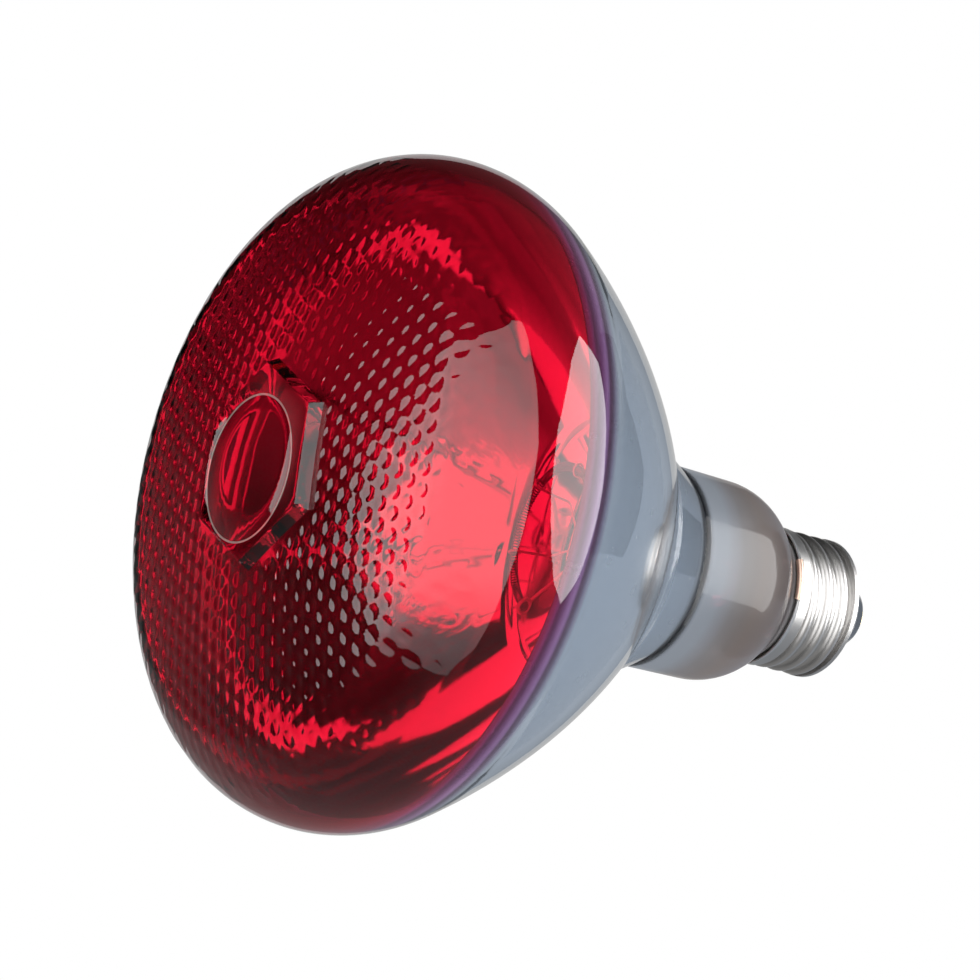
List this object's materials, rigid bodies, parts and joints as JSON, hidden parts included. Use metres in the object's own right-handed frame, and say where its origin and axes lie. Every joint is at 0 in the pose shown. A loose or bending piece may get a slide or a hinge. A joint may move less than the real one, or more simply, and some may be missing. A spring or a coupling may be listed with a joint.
{
  "type": "infrared heat lamp bulb",
  "caption": "Reflector heat lamp bulb with a dimpled red lens, a mirrored funnel body, a clear glass neck and a metal screw cap.",
  "frame": {"origin": "centre of the end contact's face, on the lamp's axis", "axes": "+Z along the lamp's axis from the end contact out through the lens; X and Y across it, with the camera of the picture on the -Y side"},
  "size_m": [0.122, 0.122, 0.136],
  "materials": {
    "red_glass": "gloss",
    "mirror_layer": "satin",
    "nickel_plate": "gloss",
    "black_glass": "gloss",
    "contact_brass": "satin",
    "solder": "satin",
    "cement": "matt",
    "clear_glass": "gloss",
    "deflector_sheet": "satin",
    "tungsten": "satin",
    "nickel_wire": "satin",
    "copper_wire": "satin",
    "support_wire": "satin"
  },
  "bodies": {
    "root": {"glass_envelope": "red_glass", "reflector_mirror": "mirror_layer", "screw_shell": "nickel_plate", "cap_insulator": "black_glass", "centre_contact": "contact_brass", "contact_solder": "solder", "side_solder": "solder", "basing_cement": "cement", "stem_tube": "clear_glass", "exhaust_tube": "clear_glass", "arbor_rod": "clear_glass", "heat_deflector": "deflector_sheet", "filament": "tungsten", "inner_lead_neutral": "nickel_wire", "inner_lead_live": "nickel_wire", "outer_lead_neutral": "copper_wire", "outer_lead_live": "copper_wire", "filament_support_1": "support_wire", "filament_support_2": "support_wire", "filament_support_3": "support_wire", "filament_support_4": "support_wire"}
  },
  "joints": []
}
